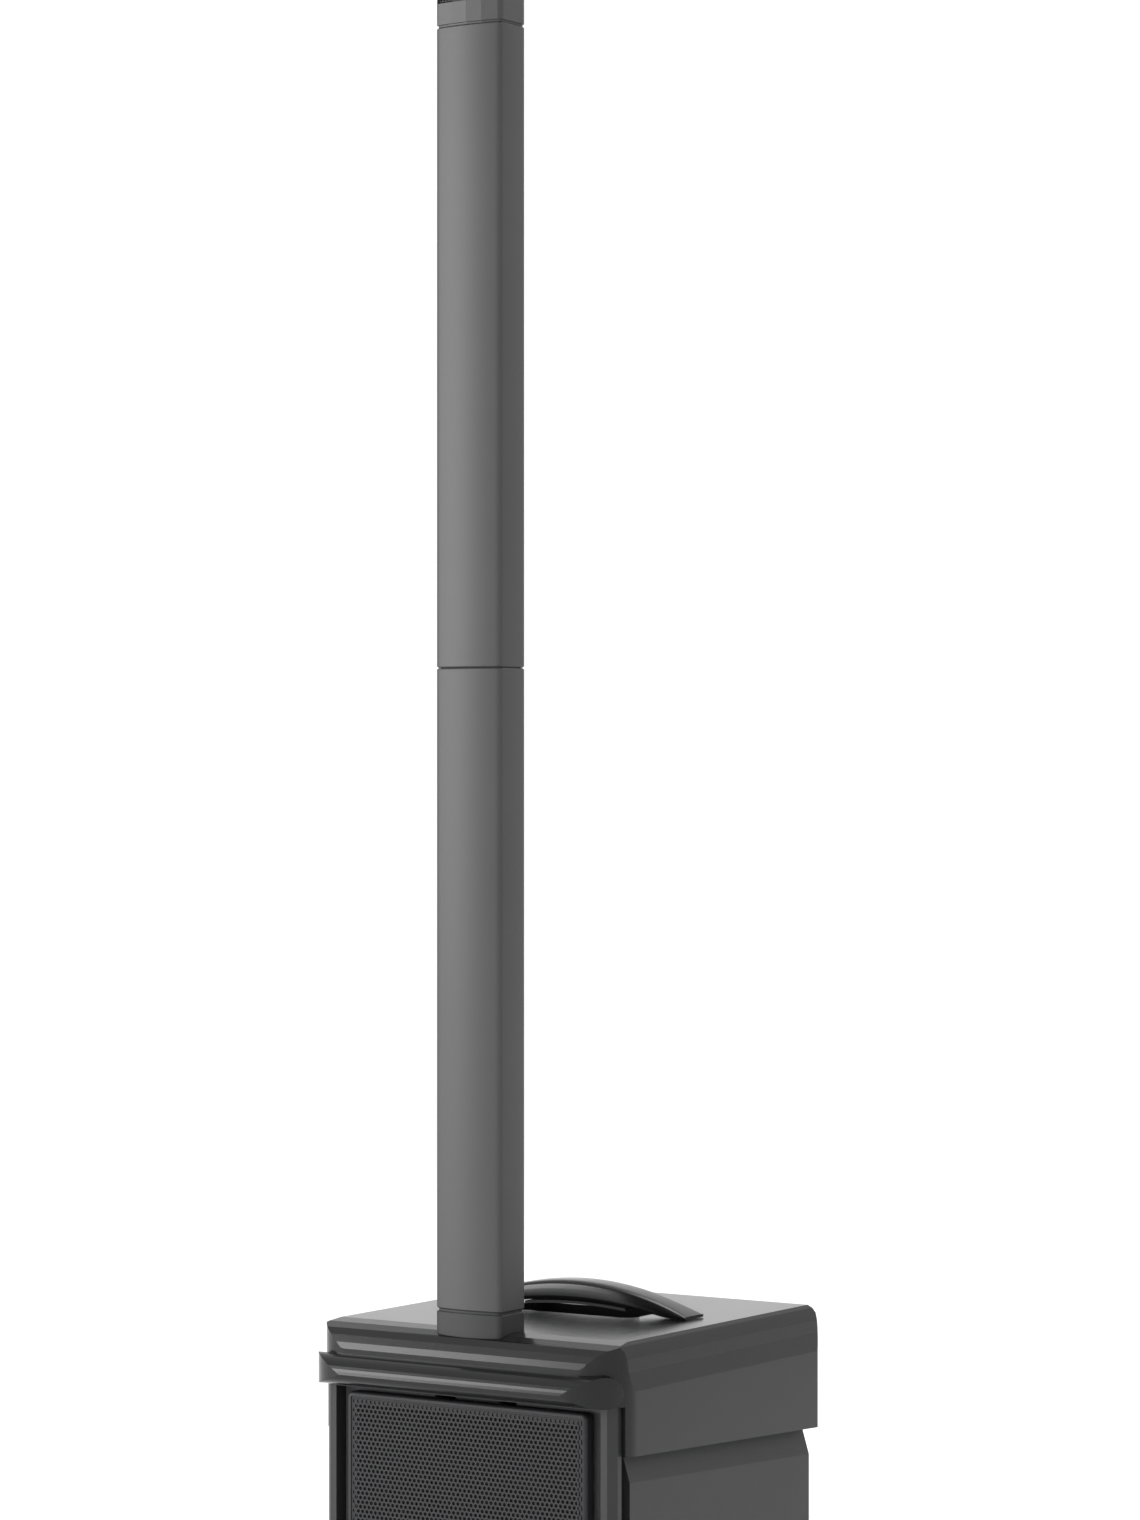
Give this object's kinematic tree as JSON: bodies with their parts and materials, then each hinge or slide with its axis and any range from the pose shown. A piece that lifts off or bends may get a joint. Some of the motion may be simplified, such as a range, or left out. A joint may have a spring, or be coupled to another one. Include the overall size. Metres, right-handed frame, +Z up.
{
  "type": "pa speaker",
  "caption": "Portable column loudspeaker: boxy bass unit with grille, carrying handle and rear mixer panel, plus a slim plug-in column with a driver array on top.",
  "frame": {"origin": "on the floor under the centre of the whole footprint, front lip included", "axes": "+Z up, front grille faces -Y, +X to the viewer's right when facing the front"},
  "size_m": [0.344, 0.391, 2.001],
  "materials": {
    "case_plastic": "fine moulded grain",
    "cap_plastic": "satin, fine grain",
    "column_plastic": "satin",
    "socket_plastic": "matt",
    "cabinet_wood": "textured dark paint",
    "grille_metal": "fine powder coat",
    "foam": "open-cell foam",
    "rubber": "matt",
    "panel_metal": "satin paint",
    "dark_aluminium": "anodised",
    "knob_plastic": "matt",
    "button_plastic": "matt",
    "jack_plastic": "satin",
    "driver_steel": "zinc-grey paint",
    "cone_paper": "pressed paper",
    "circuit_board": "solder resist",
    "lamp_plastic": "clear tinted"
  },
  "bodies": {
    "base": {"front_frame": "case_plastic", "side_panel_right": "case_plastic", "side_panel_left": "case_plastic", "column_socket": "case_plastic", "top_cap": "cap_plastic", "carry_handle": "cap_plastic", "bass_cabinet": "cabinet_wood", "front_grille": "grille_metal", "grille_foam": "foam", "foot_front_left": "rubber", "foot_front_right": "rubber", "foot_back_left": "rubber", "foot_back_right": "rubber", "handle_grip": "rubber", "woofer_surround": "rubber", "amp_panel": "panel_metal", "heat_sink": "dark_aluminium", "power_supply": "dark_aluminium", "combo_jack_1": "jack_plastic", "combo_jack_2": "jack_plastic", "line_output_jack": "jack_plastic", "aux_jack": "jack_plastic", "mains_inlet": "jack_plastic", "power_switch_bezel": "jack_plastic", "fuse_holder": "jack_plastic", "socket_contact_block": "jack_plastic", "bass_port_tube": "jack_plastic", "woofer_basket": "driver_steel", "woofer_magnet": "driver_steel", "mixer_board": "circuit_board", "amplifier_board": "circuit_board", "status_lamp": "lamp_plastic"},
    "woofer_cone_body": {"woofer_cone": "cone_paper"},
    "power_rocker_body": {"power_rocker": "knob_plastic"},
    "lower_column": {"lower_column_tube": "column_plastic", "lower_column_plug": "socket_plastic"},
    "upper_column": {"upper_column_tube": "column_plastic", "upper_column_plug": "socket_plastic"},
    "array": {"array_housing": "column_plastic", "array_grille": "grille_metal", "array_top_cap": "column_plastic", "array_plug": "socket_plastic", "array_driver_1": "driver_steel", "array_driver_2": "driver_steel", "array_driver_3": "driver_steel", "array_driver_4": "driver_steel"},
    "channel_1_level_knob_body": {"channel_1_level_knob": "knob_plastic"},
    "channel_2_level_knob_body": {"channel_2_level_knob": "knob_plastic"},
    "channel_3_level_knob_body": {"channel_3_level_knob": "knob_plastic"},
    "master_level_knob_body": {"master_level_knob": "knob_plastic"},
    "channel_1_tone_knob_body": {"channel_1_tone_knob": "knob_plastic"},
    "channel_2_tone_knob_body": {"channel_2_tone_knob": "knob_plastic"},
    "reverb_level_knob_body": {"reverb_level_knob": "knob_plastic"},
    "bass_level_knob_body": {"bass_level_knob": "knob_plastic"},
    "channel_1_switch_body": {"channel_1_switch": "button_plastic"},
    "channel_2_switch_body": {"channel_2_switch": "button_plastic"},
    "pairing_button_body": {"pairing_button": "button_plastic"}
  },
  "joints": [
    {"name": "lower_column_lift", "type": "slide", "parent": "base", "child": "lower_column", "axis": [0, 0, 1], "range_m": [0, 0.09]},
    {"name": "upper_column_lift", "type": "slide", "parent": "lower_column", "child": "upper_column", "axis": [0, 0, 1], "range_m": [0, 0.065]},
    {"name": "array_lift", "type": "slide", "parent": "upper_column", "child": "array", "axis": [0, 0, 1], "range_m": [0, 0.065]},
    {"name": "woofer_travel", "type": "slide", "parent": "base", "child": "woofer_cone_body", "axis": [0, -1, 0], "range_m": [-0.005, 0.005], "stiffness_N_per_m": 2500},
    {"name": "power_switch_throw", "type": "hinge", "parent": "base", "child": "power_rocker_body", "pos_m": [0.084, 0.1735, 0.14], "axis": [1, 0, 0], "range_deg": [0, 14]},
    {"name": "channel_1_level_knob_turn", "type": "hinge", "parent": "base", "child": "channel_1_level_knob_body", "pos_m": [0.084, 0.1745, 0.352], "axis": [0, 1, 0], "range_deg": [-150, 150]},
    {"name": "channel_2_level_knob_turn", "type": "hinge", "parent": "base", "child": "channel_2_level_knob_body", "pos_m": [0.036, 0.1745, 0.352], "axis": [0, 1, 0], "range_deg": [-150, 150]},
    {"name": "channel_3_level_knob_turn", "type": "hinge", "parent": "base", "child": "channel_3_level_knob_body", "pos_m": [-0.012, 0.1745, 0.352], "axis": [0, 1, 0], "range_deg": [-150, 150]},
    {"name": "master_level_knob_turn", "type": "hinge", "parent": "base", "child": "master_level_knob_body", "pos_m": [-0.072, 0.1745, 0.352], "axis": [0, 1, 0], "range_deg": [-150, 150]},
    {"name": "channel_1_tone_knob_turn", "type": "hinge", "parent": "base", "child": "channel_1_tone_knob_body", "pos_m": [0.084, 0.1745, 0.314], "axis": [0, 1, 0], "range_deg": [-150, 150]},
    {"name": "channel_2_tone_knob_turn", "type": "hinge", "parent": "base", "child": "channel_2_tone_knob_body", "pos_m": [0.036, 0.1745, 0.314], "axis": [0, 1, 0], "range_deg": [-150, 150]},
    {"name": "reverb_level_knob_turn", "type": "hinge", "parent": "base", "child": "reverb_level_knob_body", "pos_m": [-0.012, 0.1745, 0.314], "axis": [0, 1, 0], "range_deg": [-150, 150]},
    {"name": "bass_level_knob_turn", "type": "hinge", "parent": "base", "child": "bass_level_knob_body", "pos_m": [-0.072, 0.1745, 0.314], "axis": [0, 1, 0], "range_deg": [-150, 150]},
    {"name": "channel_1_switch_press", "type": "slide", "parent": "base", "child": "channel_1_switch_body", "axis": [0, -1, 0], "range_m": [0, 0.0015], "stiffness_N_per_m": 400},
    {"name": "channel_2_switch_press", "type": "slide", "parent": "base", "child": "channel_2_switch_body", "axis": [0, -1, 0], "range_m": [0, 0.0015], "stiffness_N_per_m": 400},
    {"name": "pairing_button_press", "type": "slide", "parent": "base", "child": "pairing_button_body", "axis": [0, -1, 0], "range_m": [0, 0.0015], "stiffness_N_per_m": 400}
  ]
}
